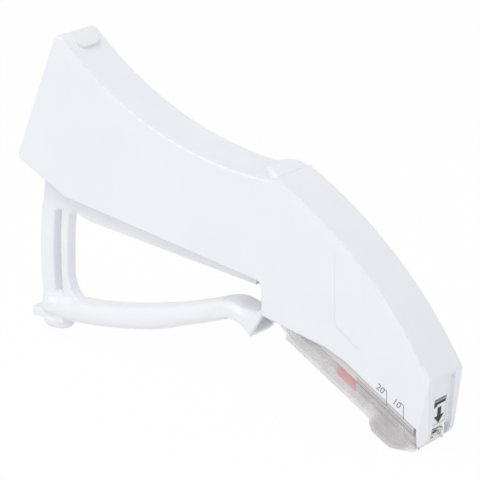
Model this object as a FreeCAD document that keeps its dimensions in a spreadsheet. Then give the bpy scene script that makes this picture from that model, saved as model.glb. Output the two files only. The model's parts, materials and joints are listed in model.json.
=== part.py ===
import FreeCAD, Part
import Sketcher
import math
import os
import re
from types import SimpleNamespace

Vector = FreeCAD.Vector

# Frame: +X runs from the palm end to the nose, +Z up from the lowest point of the
# magazine, Y through the thickness with the left side on -Y. The origin is the middle
# of the underside. All sizes are in millimetres, angles in degrees.
DRIVING_SIZES = [
    # Shell
    ("thickness", 17.0),
    ("wall", 1.1),
    ("cover_depth", 3.6),
    ("palm_radius", 112.0),
    ("brow_radius", 135.0),
    ("corner_round", 2.0),
    ("edge_round", 0.7),
    ("pad_length", 4.2),
    ("pad_rise", 1.0),
    ("brow_pad_radius", 7.8),
    ("brow_pad_rise", 2.4),
    ("post_diameter", 4.0),
    ("post_bore", 1.6),
    ("pin_grip", 0.03),
    # Nose
    ("nose_depth", 3.2),
    ("facet_tilt", 11.3),
    ("facet_slope", 0.7),
    ("crease_width", 0.36),
    ("crease_depth", 0.16),
    ("panel_setback", 1.1),
    ("panel_thickness", 1.0),
    ("panel_bottom", 7.4),
    ("window_width", 6.6),
    ("window_top", 16.2),
    ("indicator_thickness", 0.7),
    ("indicator_top", 15.2),
    # Lever and its flexing post
    ("lever_width", 11.6),
    ("bar_width", 10.0),
    ("bar_height", 6.2),
    ("bar_round", 2.8),
    ("bar_radius", 184.8),
    ("rail_depth_middle", 6.3),
    ("rail_depth_front", 3.3),
    ("leaf_width", 4.2),
    ("leaf_thickness", 5.2),
    ("inner_leaf_thickness", 3.3),
    ("leaf_gap", 2.4),
    ("leaf_bottom", 15.5),
    ("leaf_top", 43.0),
    ("leaf_bow", 0.8),
    ("cheek_thickness", 1.5),
    ("root_fillet", 6.0),
    ("foot_diameter", 9.6),
    ("foot_bottom", 4.2),
    ("foot_chamfer", 1.0),
    ("flange_thickness", 2.5),
    ("flange_reach", 3.4),
    ("flange_width", 8.0),
    ("lever_pin_diameter", 2.0),
    ("slot_play", 0.5),
    # Rocker and ram
    ("pivot_x", 43.0),
    ("pivot_z", 29.0),
    ("pivot_diameter", 3.0),
    ("running_fit", 0.05),
    ("rocker_width", 6.0),
    ("rocker_arm", 5.0),
    ("ram_pin_diameter", 1.8),
    ("ram_pin_x", 69.2),
    ("ram_pin_z", 23.0),
    ("ram_thickness", 0.7),
    ("ram_width", 12.4),
    ("ram_bottom", 7.4),
    ("ram_notch", 6.6),
    ("carrier_height", 5.8),
    ("carrier_gap", 6.4),
    # Magazine
    ("feed_angle", 29.4),
    ("feed_x", 71.4),
    ("feed_z", 5.3),
    ("magazine_width", 14.6),
    ("magazine_wall", 0.8),
    ("magazine_rear", 23.2),
    ("magazine_front", 70.6),
    ("magazine_drop", 7.4),
    ("guide_thickness", 1.0),
    ("guide_height", 3.2),
    ("track_width", 10.8),
    ("track_depth", 2.6),
    ("track_groove", 5.2),
    ("track_top", 0.9),
    ("track_setback", 3.3),
    ("track_floor", 0.5),
    ("plug_length", 3.0),
    ("anvil_thickness", 0.5),
    ("ejector_thickness", 0.25),
    ("ejector_width", 2.0),
    ("feed_play", 0.2),
    ("seat_gap", 0.05),
    # Staples, follower and spring
    ("wire", 0.58),
    ("staple_width", 12.4),
    ("leg_length", 3.7),
    ("staple_pitch", 0.64),
    ("staple_count", 34),
    ("follower_length", 6.6),
    ("rod_diameter", 1.0),
    ("spring_diameter", 1.8),
    ("spring_wire", 0.3),
    ("spring_turns", 12),
]

size = SimpleNamespace(**dict(DRIVING_SIZES))
half = size.thickness / 2
inner_half = half - size.wall
seam_y = -half + size.cover_depth
feed_slope = math.tan(math.radians(size.feed_angle))
feed_cos = math.cos(math.radians(size.feed_angle))
feed_sin = math.sin(math.radians(size.feed_angle))

doc = FreeCAD.newDocument("skin_stapler")
sheet = doc.addObject("Spreadsheet::Sheet", "Sizes")
for row, (alias, value) in enumerate(DRIVING_SIZES, start=1):
    sheet.set("A%d" % row, alias)
    sheet.set("B%d" % row, str(value))
    sheet.setAlias("B%d" % row, alias)
doc.recompute()


# Helpers

def bind(obj, path, text):
    """Binds a property to an expression written with the sheet's aliases."""
    obj.setExpression(path, re.sub(r"\b([a-z]\w*)\b", r"Sizes.\1", text))


def new_body(label):
    body = doc.addObject("PartDesign::Body", label)
    body.Label = label
    return body


def origin_plane(body, role):
    for feature in body.Origin.OriginFeatures:
        if feature.Role == role:
            return feature
    raise ValueError(role)


def arc_through(start, end, radius, side):
    """The middle point of the arc between two points; side 1 bulges to the left of the way."""
    chord = math.hypot(end[0] - start[0], end[1] - start[1])
    rise = radius - math.sqrt(radius ** 2 - (chord / 2) ** 2)
    left = (-(end[1] - start[1]) / chord, (end[0] - start[0]) / chord)
    return ("arc", (start[0] + end[0]) / 2 + side * rise * left[0],
            (start[1] + end[1]) / 2 + side * rise * left[1])


def closed_outline(points):
    """Sketch geometry of a closed outline.

    A point is (x, z) for a sharp corner, (x, z, radius) for a rounded one, or
    ("arc", x, z) for a point that an arc passes on its way to the next corner.
    """
    corners = []
    for point in points:
        if point[0] == "arc":
            corners[-1]["via"] = Vector(point[1], point[2], 0)
        else:
            radius = point[2] if len(point) > 2 else 0.0
            corners.append({"at": Vector(point[0], point[1], 0), "radius": radius, "via": None})
    geometry = []
    count = len(corners)
    for index, corner in enumerate(corners):
        corner["arrive"] = corner["leave"] = corner["at"]
        if corner["radius"] > 0:
            before = (corners[index - 1]["at"] - corner["at"]).normalize()
            after = (corners[(index + 1) % count]["at"] - corner["at"]).normalize()
            opening = before.getAngle(after)
            reach = corner["radius"] / math.tan(opening / 2)
            corner["arrive"] = corner["at"] + before * reach
            corner["leave"] = corner["at"] + after * reach
            middle = (before + after).normalize()
            depth = corner["radius"] / math.sin(opening / 2) - corner["radius"]
            corner["mid"] = corner["at"] + middle * depth
    for index, corner in enumerate(corners):
        if corner["radius"] > 0:
            geometry.append(Part.Arc(corner["arrive"], corner["mid"], corner["leave"]))
        following = corners[(index + 1) % count]
        if corner["via"] is not None:
            geometry.append(Part.Arc(corner["leave"], corner["via"], following["arrive"]))
        elif (following["arrive"] - corner["leave"]).Length > 1e-6:
            geometry.append(Part.LineSegment(corner["leave"], following["arrive"]))
    return geometry


def inset(geometry, distance):
    """The same outline moved inwards by distance."""
    wire = Part.Wire([piece.toShape() for piece in geometry])
    moved = wire.makeOffset2D(-distance, 2)
    result = []
    for edge in moved.OrderedEdges:
        start = edge.firstVertex(True).Point
        end = edge.lastVertex(True).Point
        if isinstance(edge.Curve, Part.Circle):
            middle = edge.valueAt((edge.FirstParameter + edge.LastParameter) / 2)
            result.append(Part.Arc(start, middle, end))
        else:
            result.append(Part.LineSegment(start, end))
    return result


def side_sketch(body, name, plane_y, geometry):
    """A sketch parallel to the side faces, at the Y that the expression plane_y gives."""
    sketch = body.newObject("Sketcher::SketchObject", name)
    sketch.AttachmentSupport = [(origin_plane(body, "XZ_Plane"), "")]
    sketch.MapMode = "FlatFace"
    bind(sketch, "AttachmentOffset.Base.z", "-(%s)" % plane_y)
    sketch.addGeometry(geometry, False)
    return sketch


def chamfer(body, name, accept, reach):
    base = body.Tip
    feature = body.newObject("PartDesign::Chamfer", name)
    feature.Base = (base, edges_along(base.Shape, accept))
    bind(feature, "Size", reach)
    doc.recompute()
    if feature.Shape.isNull() or not feature.Shape.isValid():
        raise RuntimeError(name + " failed")
    return feature


def plan_sketch(body, name, height, geometry):
    """A level sketch at the height that the expression gives."""
    sketch = body.newObject("Sketcher::SketchObject", name)
    sketch.AttachmentSupport = [(origin_plane(body, "XY_Plane"), "")]
    sketch.MapMode = "FlatFace"
    bind(sketch, "AttachmentOffset.Base.z", height)
    sketch.addGeometry(geometry, False)
    return sketch


def plan_feature(body, name, outline, height, depth, kind="Pad"):
    """Fills or cuts an outline seen from above: a pad rises, a pocket sinks from height."""
    before = body.Shape.Volume if body.Tip else 0.0
    feature_sketch = plan_sketch(body, name + "_sketch", height, as_geometry(outline))
    feature = body.newObject("PartDesign::" + kind, name)
    feature.Profile = feature_sketch
    bind(feature, "Length", depth)
    doc.recompute()
    if "Invalid" in feature.State or abs(body.Shape.Volume - before) < 1e-6:
        raise RuntimeError(name + " changes nothing")
    return feature


def as_geometry(outline):
    """Outlines come as corner points or as finished sketch geometry."""
    if isinstance(outline[0], tuple):
        return closed_outline(outline)
    return outline


def pad(body, name, outline, far_y, depth):
    """Fills an outline from the plane far_y towards the left side by depth."""
    sketch = side_sketch(body, name + "_sketch", far_y, as_geometry(outline))
    feature = body.newObject("PartDesign::Pad", name)
    feature.Profile = sketch
    bind(feature, "Length", depth)
    doc.recompute()
    if "Invalid" in feature.State or not feature.Shape.isValid():
        raise RuntimeError(name + " failed")
    return feature


def pocket(body, name, outline, near_y, depth):
    """Cuts an outline from the plane near_y away from the left side by depth."""
    before = body.Shape.Volume
    sketch = side_sketch(body, name + "_sketch", near_y, as_geometry(outline))
    feature = body.newObject("PartDesign::Pocket", name)
    feature.Profile = sketch
    bind(feature, "Length", depth)
    doc.recompute()
    if not body.Shape.Volume < before - 1e-6:
        raise RuntimeError(name + " cuts nothing")
    return feature


def circle_at(x, z, radius):
    return [Part.Circle(Vector(x, z, 0), Vector(0, 0, 1), radius)]


def round_feature(body, name, x, z, diameter, far_y, depth, kind="Pad"):
    """A pin or a bore along Y; the circle's radius is bound to the sheet."""
    before = body.Shape.Volume if body.Tip else 0.0
    sketch = side_sketch(body, name + "_sketch", far_y, circle_at(x, z, 1.0))
    radius = sketch.addConstraint(Sketcher.Constraint("Radius", 0, 1.0))
    sketch.renameConstraint(radius, "pin_radius")
    bind(sketch, "Constraints.pin_radius", "(%s) / 2" % diameter)
    feature = body.newObject("PartDesign::" + kind, name)
    feature.Profile = sketch
    bind(feature, "Length", depth)
    doc.recompute()
    if kind == "Pocket" and not body.Shape.Volume < before - 1e-6:
        raise RuntimeError(name + " cuts nothing")
    return feature


def edges_along(shape, accept):
    """Names of the edges whose middle point and direction the test accepts."""
    names = []
    for number, edge in enumerate(shape.Edges, start=1):
        middle = edge.valueAt((edge.FirstParameter + edge.LastParameter) / 2)
        tangent = edge.tangentAt((edge.FirstParameter + edge.LastParameter) / 2)
        if accept(middle, tangent):
            names.append("Edge%d" % number)
    return names


def fillet(body, name, accept, radius):
    base = body.Tip
    feature = body.newObject("PartDesign::Fillet", name)
    feature.Base = (base, edges_along(base.Shape, accept))
    bind(feature, "Radius", radius)
    doc.recompute()
    if feature.Shape.isNull() or not feature.Shape.isValid():
        raise RuntimeError(name + " failed")
    return feature


def rail_z(x):
    """Height of the line that the magazine cover and the feed guide meet at."""
    return size.feed_z + (size.feed_x - x) * feed_slope


def above_rail(x, rise):
    """The point at x on the line that runs along the feed line at a distance of rise."""
    return (x, rail_z(x) + rise / feed_cos)


# Shell outline, seen from the left side

REAR_TOP = (-61.2, 99.4)
REAR_BOTTOM = (-76.25, 58.6)
PALM_START = (-58.6, 99.0)
PALM_END = (20.0, 71.1)
BROW_START = (21.2, 72.2)
NOSE_TOP = (75.8, 24.0)
NOSE_LOW = (75.0, 8.2)
NOSE_CHIN = (74.4, 4.9)
NOSE_HEEL = (72.1, 2.8)
NOSE_BACK = (71.9, 8.4)
SKIRT_KNEE = (46.9, 22.7)
SKIRT_BEND = (40.0, 25.3)
SKIRT_REAR = (17.0, 29.6)
GRIP_FRONT = (17.0, 39.65)
GRIP_REAR = (-58.0, 49.9)


def grip_z(x):
    """Height of the shell's lower edge above the finger opening."""
    slope = (GRIP_FRONT[1] - GRIP_REAR[1]) / (GRIP_FRONT[0] - GRIP_REAR[0])
    return GRIP_REAR[1] + (x - GRIP_REAR[0]) * slope


def rear_z(x):
    """Height of the shell's sloping lower edge behind the grip."""
    slope = (REAR_BOTTOM[1] - GRIP_REAR[1]) / (REAR_BOTTOM[0] - GRIP_REAR[0])
    return GRIP_REAR[1] + (x - GRIP_REAR[0]) * slope


def shell_outline():
    return [
        REAR_BOTTOM + (size.corner_round,),
        REAR_TOP + (size.corner_round * 0.7,),
        PALM_START,
        arc_through(PALM_START, PALM_END, size.palm_radius, -1),
        PALM_END,
        BROW_START,
        arc_through(BROW_START, NOSE_TOP, size.brow_radius, 1),
        NOSE_TOP,
        NOSE_LOW,
        NOSE_CHIN,
        NOSE_HEEL,
        NOSE_BACK,
        SKIRT_KNEE,
        SKIRT_BEND,
        SKIRT_REAR,
        GRIP_FRONT + (size.corner_round * 1.2,),
        GRIP_REAR,
    ]


def opening_below():
    """What the shell leaves open below: the anchor's slot, the lever's way in and the magazine."""
    inside = 3 * size.wall
    return [
        (GRIP_REAR[0] + inside, grip_z(GRIP_REAR[0]) + inside),
        (GRIP_FRONT[0] + inside, GRIP_FRONT[1] + inside),
        (SKIRT_REAR[0] + 2 * inside, SKIRT_REAR[1] + inside),
        (SKIRT_KNEE[0], SKIRT_KNEE[1] + 2 * inside),
        (nose_inner_x, NOSE_BACK[1] + inside),
        (nose_inner_x, NOSE_HEEL[1] - inside),
        (GRIP_REAR[0] + inside, NOSE_HEEL[1] - inside),
    ]


def brow_z(x):
    """Height of the shell's top over the nose."""
    middle = arc_through(BROW_START, NOSE_TOP, size.brow_radius, 1)
    arc = Part.Arc(Vector(*BROW_START, 0), Vector(*middle[1:], 0), Vector(*NOSE_TOP, 0))
    centre = arc.toShape().Curve.Center
    return centre.y + math.sqrt(size.brow_radius ** 2 - (x - centre.x) ** 2)


def palm_z(x):
    """Height of the shell's hollow palm side."""
    middle = arc_through(PALM_START, PALM_END, size.palm_radius, -1)
    arc = Part.Arc(Vector(*PALM_START, 0), Vector(*middle[1:], 0), Vector(*PALM_END, 0))
    centre = arc.toShape().Curve.Center
    return centre.y - math.sqrt(size.palm_radius ** 2 - (x - centre.x) ** 2)


# Shell

nose_inner_x = NOSE_TOP[0] - size.nose_depth
outer_geometry = closed_outline(shell_outline())
inner_geometry = inset(closed_outline(shell_outline()), size.wall)
PIN_PLACES = [(-45.0, 54.5), (2.0, 48.5), (-62.0, 74.0), (30.0, 57.0), (60.0, 37.5)]


def nose_rim():
    return [
        (nose_inner_x, NOSE_HEEL[1] + 0.2),
        NOSE_CHIN,
        NOSE_LOW,
        (NOSE_TOP[0], NOSE_TOP[1] - size.wall / 2),
        (nose_inner_x, brow_z(nose_inner_x) - size.wall / 2),
    ]


def nose_front_x(z):
    """The nose's leaning front edge at height z."""
    lean = (NOSE_TOP[0] - NOSE_LOW[0]) / (NOSE_TOP[1] - NOSE_LOW[1])
    return NOSE_TOP[0] - (NOSE_TOP[1] - z) * lean


def nose_facet(body, side):
    """Cuts the leaning facet that narrows the nose downwards on one side."""
    reach = 4 * size.nose_depth
    outside = side * (half + size.wall)
    inside = side * (half - reach * size.facet_slope)
    sketch = body.newObject("Sketcher::SketchObject", "nose_facet_sketch")
    sketch.AttachmentSupport = [(origin_plane(body, "XY_Plane"), "")]
    sketch.MapMode = "FlatFace"
    tilt = FreeCAD.Rotation(Vector(0, 1, 0), size.facet_tilt)
    sketch.AttachmentOffset = FreeCAD.Placement(Vector(NOSE_TOP[0], 0, NOSE_TOP[1]), tilt)
    sketch.addGeometry(closed_outline([(0, outside), (0, side * half), (reach, inside),
                                       (reach, outside)]), False)
    facet = body.newObject("PartDesign::Pocket", "nose_facet")
    facet.Profile = sketch
    before = body.Shape.Volume
    bind(facet, "Length", "10 * nose_depth")
    doc.recompute()
    if not body.Shape.Volume < before - 1.0:
        raise RuntimeError("nose_facet cuts nothing")


CREASE = [(42.3, 53.9), (43.1, 33.0), (52.0, 27.3)]


def side_crease(body, face_y):
    """The shallow line that sets the nose off from the shell's side."""
    across = size.crease_width / 2
    left = [(x - across, z - across) for x, z in CREASE]
    right = [(x + across, z + across) for x, z in reversed(CREASE)]
    pocket(body, "side_crease", left + right, face_y, "crease_depth")


def on_outer_face(y):
    """Accepts the long edges of a side face at height y, except those along the underside."""
    def accept(middle, tangent):
        above_grip = middle.z > GRIP_REAR[1] - 1 and middle.x < PALM_START[0] + 1
        on_top = middle.z > grip_z(middle.x) + 8 and middle.x < GRIP_FRONT[0]
        on_brow = middle.x > GRIP_FRONT[0] and middle.z > brow_z(min(middle.x, NOSE_TOP[0])) - 2
        at_side = abs(middle.y - y) < 1e-4 and abs(tangent.y) < 0.5
        return at_side and (above_grip or on_top or on_brow)
    return accept


def build_left_cover():
    body = new_body("left_cover")
    pad(body, "cover_plate", outer_geometry, "wall - thickness / 2", "wall")
    pad(body, "cover_rim", outer_geometry + inner_geometry,
        "cover_depth - thickness / 2", "cover_depth - wall")
    pocket(body, "cover_opening", opening_below(), "wall - thickness / 2", "cover_depth - wall")
    pad(body, "cover_nose_rim", nose_rim(), "cover_depth - thickness / 2", "cover_depth")
    for number, (x, z) in enumerate(PIN_PLACES):
        round_feature(body, "cover_post%d" % number, x, z, "post_diameter",
                      "cover_depth - thickness / 2", "cover_depth - wall / 2")
    round_feature(body, "cover_pivot_boss", size.pivot_x, size.pivot_z, "2 * pivot_diameter",
                  "cover_depth - thickness / 2", "cover_depth - wall / 2")
    round_feature(body, "cover_pivot_bore", size.pivot_x, size.pivot_z,
                  "pivot_diameter + 2 * pin_grip", "wall - thickness / 2", "cover_depth", "Pocket")
    for number, (x, z) in enumerate(PIN_PLACES):
        round_feature(body, "cover_pin_bore%d" % number, x, z, "post_bore + 2 * pin_grip",
                      "wall - thickness / 2", "cover_depth", "Pocket")
    fillet(body, "cover_round", on_outer_face(-half), "edge_round")
    nose_facet(body, -1)
    side_crease(body, "-thickness / 2")
    return body


def build_right_housing():
    body = new_body("right_housing")
    pad(body, "housing_plate", outer_geometry, "thickness / 2", "wall")
    pad(body, "housing_wall", outer_geometry + inner_geometry,
        "thickness / 2 - wall", "thickness - cover_depth - wall")
    pocket(body, "housing_opening", opening_below(), "cover_depth - thickness / 2",
           "thickness - cover_depth - wall")
    panel_gap = [
        (nose_inner_x, NOSE_HEEL[1] - size.wall),
        (NOSE_TOP[0] + size.wall, NOSE_HEEL[1] - size.wall),
        (NOSE_TOP[0] + size.wall, NOSE_TOP[1] - size.wall),
        (nose_inner_x, NOSE_TOP[1] - size.wall),
    ]
    pocket(body, "housing_front_gap", panel_gap, "cover_depth - thickness / 2",
           "thickness - 2 * cover_depth")
    pad(body, "housing_nose_rim", nose_rim(), "thickness / 2", "cover_depth")
    for number, (x, z) in enumerate(PIN_PLACES):
        round_feature(body, "housing_post%d" % number, x, z, "post_diameter",
                      "thickness / 2 - wall / 2", "thickness - cover_depth - wall / 2")
    round_feature(body, "housing_pivot_boss", size.pivot_x, size.pivot_z, "2 * pivot_diameter",
                  "thickness / 2 - wall / 2", "cover_depth - wall / 2")
    round_feature(body, "housing_pivot_bore", size.pivot_x, size.pivot_z,
                  "pivot_diameter + 2 * pin_grip", "thickness / 2 - cover_depth",
                  "cover_depth - wall", "Pocket")
    for number, (x, z) in enumerate(PIN_PLACES):
        round_feature(body, "housing_pin_bore%d" % number, x, z, "post_bore + 2 * pin_grip",
                      "cover_depth - thickness / 2", "2 * cover_depth", "Pocket")
    fillet(body, "housing_round", on_outer_face(half), "edge_round")
    nose_facet(body, 1)
    side_crease(body, "thickness / 2 - crease_depth")
    return body


def build_assembly_pins():
    """The pins that hold the cover's posts on the housing's posts, one per pair."""
    body = new_body("assembly_pins")
    circles = [circle_at(x, z, size.post_bore / 2)[0] for x, z in PIN_PLACES]
    pad(body, "pins", circles, "3 * cover_depth - thickness / 2 - 0.1",
        "3 * cover_depth - wall - 0.2")
    return body


def build_palm_pad():
    """The raised block at the palm end; its front is round seen from above."""
    body = new_body("palm_pad")
    front_x = PALM_START[0] + size.pad_length
    front_z = palm_z(front_x)
    along = Vector(front_x - PALM_START[0], 0, front_z - PALM_START[1]).normalize()
    up = Vector(-along.z, 0, along.x)
    rise = size.pad_rise
    outline = [
        PALM_START,
        ("arc", (PALM_START[0] + front_x) / 2, palm_z((PALM_START[0] + front_x) / 2)),
        (front_x, front_z),
        (front_x + up.x * rise, front_z + up.z * rise),
        (PALM_START[0] + up.x * rise, PALM_START[1] + up.z * rise),
    ]
    pad(body, "pad_block", outline, "thickness / 2 - cover_depth", "thickness - 2 * cover_depth")

    def front_corners(middle, tangent):
        return middle.x > front_x - 1 and abs(tangent.y) < 0.1 and abs(tangent.dot(up)) > 0.9
    fillet(body, "pad_round", front_corners, "corner_round * 1.5")
    return body


def build_brow_pad():
    """The raised rest in front of the palm's hollow; its rear is round seen from above."""
    body = new_body("brow_pad")
    radius = size.brow_pad_radius
    rear_x = BROW_START[0] - radius
    middle_x = (rear_x + PALM_END[0]) / 2
    rear_top = palm_z(rear_x) + size.brow_pad_rise
    outline = [
        (rear_x, palm_z(rear_x)),
        ("arc", middle_x, palm_z(middle_x)),
        PALM_END,
        BROW_START,
        (BROW_START[0], BROW_START[1] + size.seat_gap),
        ("arc", rear_x + radius * 0.45, rear_top + 0.3),
        (rear_x, rear_top),
    ]
    pad(body, "brow_block", outline, "brow_pad_radius", "2 * brow_pad_radius")
    for name, side in (("near", -1), ("far", 1)):
        middle = radius * math.sqrt(0.5)
        corner = [
            (rear_x - 1, 0),
            (rear_x, 0),
            ("arc", BROW_START[0] - middle, side * middle),
            (BROW_START[0], side * radius),
            (BROW_START[0], side * (radius + 1)),
            (rear_x - 1, side * (radius + 1)),
        ]
        plan_feature(body, "brow_corner_" + name, corner, str(rear_top + 5), "20", "Pocket")

    def top_rim(middle, tangent):
        return middle.z > palm_z(rear_x) + size.brow_pad_rise / 2 and middle.x < BROW_START[0] - 0.5 \
            and math.hypot(middle.x - BROW_START[0], middle.y) > radius - 0.2
    fillet(body, "brow_round", top_rim, "brow_pad_rise / 2")
    return body


def build_front_panel():
    body = new_body("front_panel")
    low = size.panel_bottom
    top = NOSE_TOP[1] - size.wall - 0.1
    outline = [
        (panel_front_x(low) - size.panel_thickness, low),
        (panel_front_x(low), low),
        (panel_front_x(top), top),
        (panel_front_x(top) - size.panel_thickness, top),
    ]
    pad(body, "panel", outline, "thickness / 2 - cover_depth", "thickness - 2 * cover_depth")
    window = [
        (panel_front_x(low) - 2 * size.panel_thickness, window_bottom),
        (panel_front_x(top) + size.panel_thickness, window_bottom),
        (panel_front_x(top) + size.panel_thickness, size.window_top),
        (panel_front_x(low) - 2 * size.panel_thickness, size.window_top),
    ]
    pocket(body, "panel_window", window, "-window_width / 2", "window_width")
    return body


def panel_front_x(z):
    return nose_front_x(z) - size.panel_setback


window_bottom = size.panel_bottom + 0.8
WINDOW_FIT = 0.1


def build_indicator_plate():
    """The plate behind the window: its raised face leaves a gap above and on the left."""
    body = new_body("indicator_plate")
    low = size.panel_bottom + WINDOW_FIT
    face_low = window_bottom + WINDOW_FIT
    high = size.indicator_top

    def plate_front(z):
        return panel_front_x(z) - size.panel_thickness - size.seat_gap
    outline = [
        (plate_front(low) - size.indicator_thickness, low),
        (plate_front(low), low),
        (plate_front(high), high),
        (plate_front(high) - size.indicator_thickness, high),
    ]
    pad(body, "indicator_base", outline, "window_width / 2 + 1", "window_width + 2")
    raised = size.panel_thickness * 0.9
    face = [
        (plate_front(face_low) - size.indicator_thickness / 2, face_low),
        (plate_front(face_low) + raised, face_low),
        (plate_front(high) + raised, high),
        (plate_front(high) - size.indicator_thickness / 2, high),
    ]
    pad(body, "indicator_face", face, "window_width / 2 - 0.1", "window_width - 0.55")
    return body


# Lever: anchor, double leaf, bar

DRIVE_PIN = (23.0, 39.0)
LEAF_OUTER_X = -71.6
FOOT_X = -66.5
ANCHOR_FRONT = 12.4


def leaf_outline(outer_x, leaf_thickness):
    """One leaf between the anchor and the bar, slightly bowed to the rear."""
    inner_x = outer_x + leaf_thickness
    middle = (size.leaf_top + size.leaf_bottom) / 2
    return [
        (outer_x, size.leaf_bottom),
        ("arc", outer_x - size.leaf_bow, middle),
        (outer_x, size.leaf_top),
        (inner_x, size.leaf_top),
        ("arc", inner_x - size.leaf_bow, middle),
        (inner_x, size.leaf_bottom),
    ]


inner_leaf_x = LEAF_OUTER_X + size.leaf_thickness + size.leaf_gap
leaf_end_x = inner_leaf_x + size.inner_leaf_thickness


def build_leaf(label, outer_x, leaf_thickness):
    body = new_body(label)
    pad(body, label + "_strip", leaf_outline(outer_x, leaf_thickness), "leaf_width / 2", "leaf_width")
    return body


def taper_to_leaf(body, name, start_x, end_x):
    """Narrows a bar-wide block to the leaf's width between start_x and end_x, seen from above."""
    middle_x = (start_x + end_x) / 2
    for side_name, side in (("near", -1), ("far", 1)):
        narrow = side * size.leaf_width / 2
        wide = side * size.bar_width / 2
        corner = [
            (end_x - 2 * size.leaf_thickness - size.leaf_gap, narrow),
            (start_x, narrow),
            ("arc", middle_x, (narrow + wide) / 2 - side * 0.4),
            (end_x, wide),
            (end_x, wide + side * size.bar_width),
            (end_x - 2 * size.leaf_thickness - size.leaf_gap, wide + side * size.bar_width),
        ]
        plan_feature(body, name + "_" + side_name, corner, "2 * leaf_top", "2 * leaf_top", "Pocket")


def build_lever_anchor():
    """The fixed rail under the shell that the flexing post hangs from."""
    body = new_body("lever_anchor")
    rail_start = GRIP_REAR[0] + 3.4 * size.wall
    rail_middle = (GRIP_REAR[0] + GRIP_FRONT[0]) / 2
    web = [
        (LEAF_OUTER_X, size.leaf_top),
        (leaf_end_x, size.leaf_top),
        (leaf_end_x + 0.6, size.leaf_top + 0.9),
        (leaf_end_x + 2.2, size.leaf_top + 1.3),
        (rail_middle, grip_z(rail_middle) - size.rail_depth_middle),
        (ANCHOR_FRONT, grip_z(ANCHOR_FRONT) - size.rail_depth_front),
        (ANCHOR_FRONT, grip_z(ANCHOR_FRONT) + size.wall),
        (rail_start, grip_z(rail_start) + size.wall),
        (rail_start, grip_z(rail_start)),
        (GRIP_REAR[0], GRIP_REAR[1] - size.seat_gap),
        (LEAF_OUTER_X + 1.6, rear_z(LEAF_OUTER_X + 1.6) - size.seat_gap),
    ]
    pad(body, "anchor_web", web, "bar_width / 2", "bar_width")
    taper_to_leaf(body, "anchor_taper", leaf_end_x - 2.0, leaf_end_x + 6.0)
    flange = [
        (rail_start, grip_z(rail_start)),
        (ANCHOR_FRONT, grip_z(ANCHOR_FRONT)),
        (ANCHOR_FRONT, grip_z(ANCHOR_FRONT) + size.wall),
        (rail_start, grip_z(rail_start) + size.wall),
    ]
    pad(body, "anchor_flange", flange, "thickness / 2 - wall - 0.1", "thickness - 2 * wall - 0.2")
    for number, (x, z) in enumerate(PIN_PLACES[:2]):
        reach = size.post_diameter
        lug = [(x - reach, grip_z(x - reach)), (x + reach, grip_z(x + reach)),
               (x + reach, z + reach, 2.0), (x - reach, z + reach, 2.0)]
        pad(body, "anchor_lug%d" % number, lug, "leaf_width / 2", "leaf_width")
        round_feature(body, "anchor_hole%d" % number, x, z, "post_diameter + 2 * running_fit",
                      "-leaf_width / 2 - 1", "leaf_width + 2", "Pocket")
    return body


def rounded_rectangle(centre, width, height, radius):
    across, up = centre
    return closed_outline([
        (across - width / 2, up - height / 2, radius),
        (across + width / 2, up - height / 2, radius),
        (across + width / 2, up + height / 2, radius),
        (across - width / 2, up + height / 2, radius),
    ])


HEEL_X = -66.6
HEEL_Z = 11.25
BAR_TILT = 1.76
BAR_SWEEP = 21.0
ARC_CENTRE = (HEEL_X - size.bar_radius * math.sin(math.radians(BAR_TILT)),
              HEEL_Z + size.bar_radius * math.cos(math.radians(BAR_TILT)))


def on_bar(x, rise):
    """A point above the curved bar's middle line at x, by rise across the bar."""
    turn = math.asin((x - ARC_CENTRE[0]) / size.bar_radius)
    reach = size.bar_radius - rise
    return (ARC_CENTRE[0] + reach * math.sin(turn), ARC_CENTRE[1] - reach * math.cos(turn))


def turned_bar(body):
    """The finger bar: a rounded section turned about the far centre of its curve."""
    section = body.newObject("Sketcher::SketchObject", "bar_section")
    section.AttachmentSupport = [(origin_plane(body, "YZ_Plane"), "")]
    section.MapMode = "FlatFace"
    tilt = FreeCAD.Rotation(Vector(1, 0, 0), -BAR_TILT)
    section.AttachmentOffset = FreeCAD.Placement(Vector(0, ARC_CENTRE[1], ARC_CENTRE[0]), tilt)
    section.addGeometry(rounded_rectangle((0.0, -size.bar_radius), size.bar_width,
                                          size.bar_height, size.bar_round), False)
    bar = body.newObject("PartDesign::Revolution", "bar")
    bar.Profile = section
    bar.ReferenceAxis = (section, ["H_Axis"])
    bar.Angle = BAR_SWEEP
    bar.Reversed = True
    doc.recompute()
    if bar.Shape.isNull() or not bar.Shape.isValid():
        raise RuntimeError("bar failed")
    return bar


def turned_heel(body, low, high):
    """The bar's round rear end with bevelled rims, turned about an upright axis."""
    radius = size.bar_width / 2 + 3 * size.seat_gap
    bevel = size.bar_round * 0.6
    profile = body.newObject("Sketcher::SketchObject", "heel_section")
    profile.AttachmentSupport = [(origin_plane(body, "XZ_Plane"), "")]
    profile.MapMode = "FlatFace"
    profile.AttachmentOffset = FreeCAD.Placement(Vector(HEEL_X, 0, 0), FreeCAD.Rotation())
    profile.addGeometry(closed_outline([
        (0, low), (radius - bevel, low), (radius, low + bevel),
        (radius, high - bevel), (radius - bevel, high), (0, high),
    ]), False)
    heel = body.newObject("PartDesign::Revolution", "heel")
    heel.Profile = profile
    heel.ReferenceAxis = (profile, ["V_Axis"])
    heel.Angle = 360.0
    doc.recompute()
    if heel.Shape.isNull() or not heel.Shape.isValid():
        raise RuntimeError("heel failed")


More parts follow.
